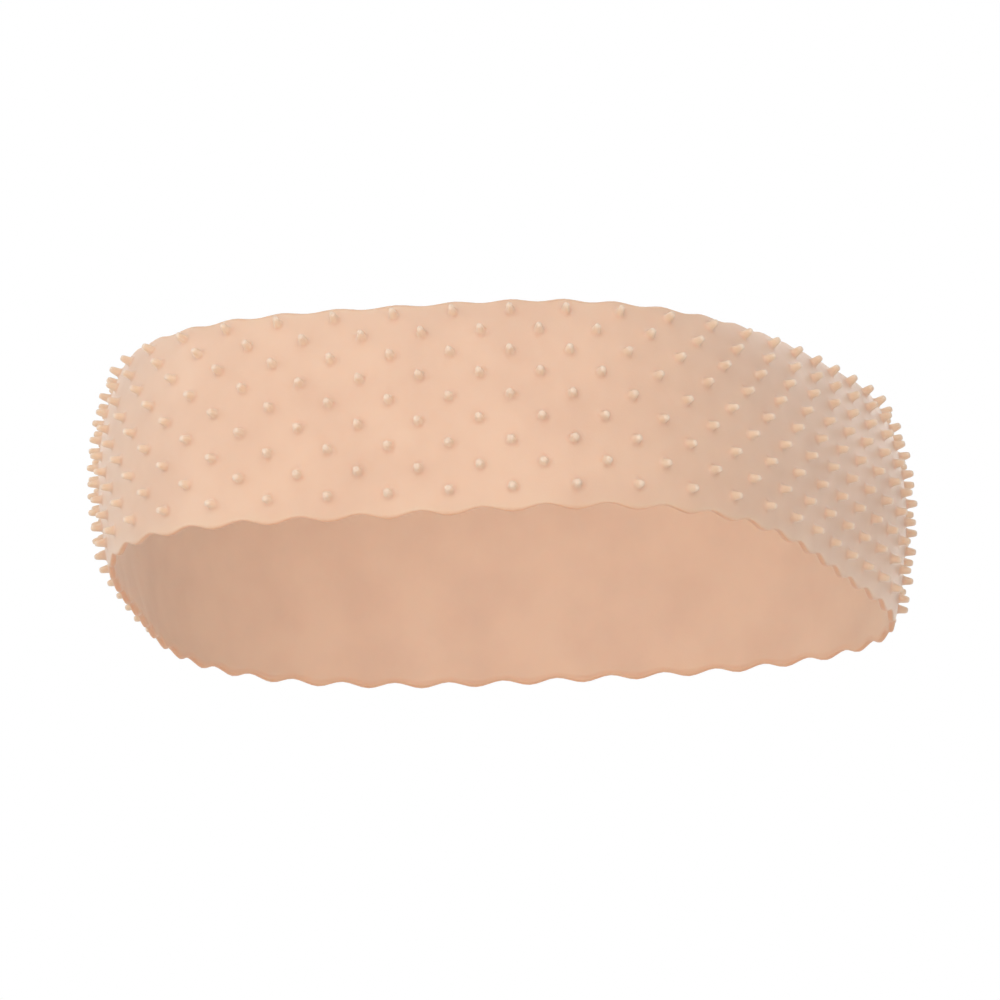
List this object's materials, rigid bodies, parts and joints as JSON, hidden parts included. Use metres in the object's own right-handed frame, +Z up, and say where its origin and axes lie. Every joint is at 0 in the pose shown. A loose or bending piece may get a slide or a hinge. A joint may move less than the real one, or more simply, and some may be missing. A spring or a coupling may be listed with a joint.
{
  "type": "wig grip band",
  "caption": "Soft silicone ring worn round the forehead and nape to hold a wig, with small nubs outside, a smooth inside and scalloped edges.",
  "frame": {"origin": "middle of the space for the head, at the ring's mid height between forehead and nape", "axes": "+Z up, -Y towards the forehead, +X towards the wearer's left ear"},
  "size_m": [0.1532, 0.179, 0.0573],
  "materials": {
    "silicone": "translucent light brown silicone, soft satin"
  },
  "bodies": {
    "root": {"grip_band": "silicone"}
  },
  "joints": []
}
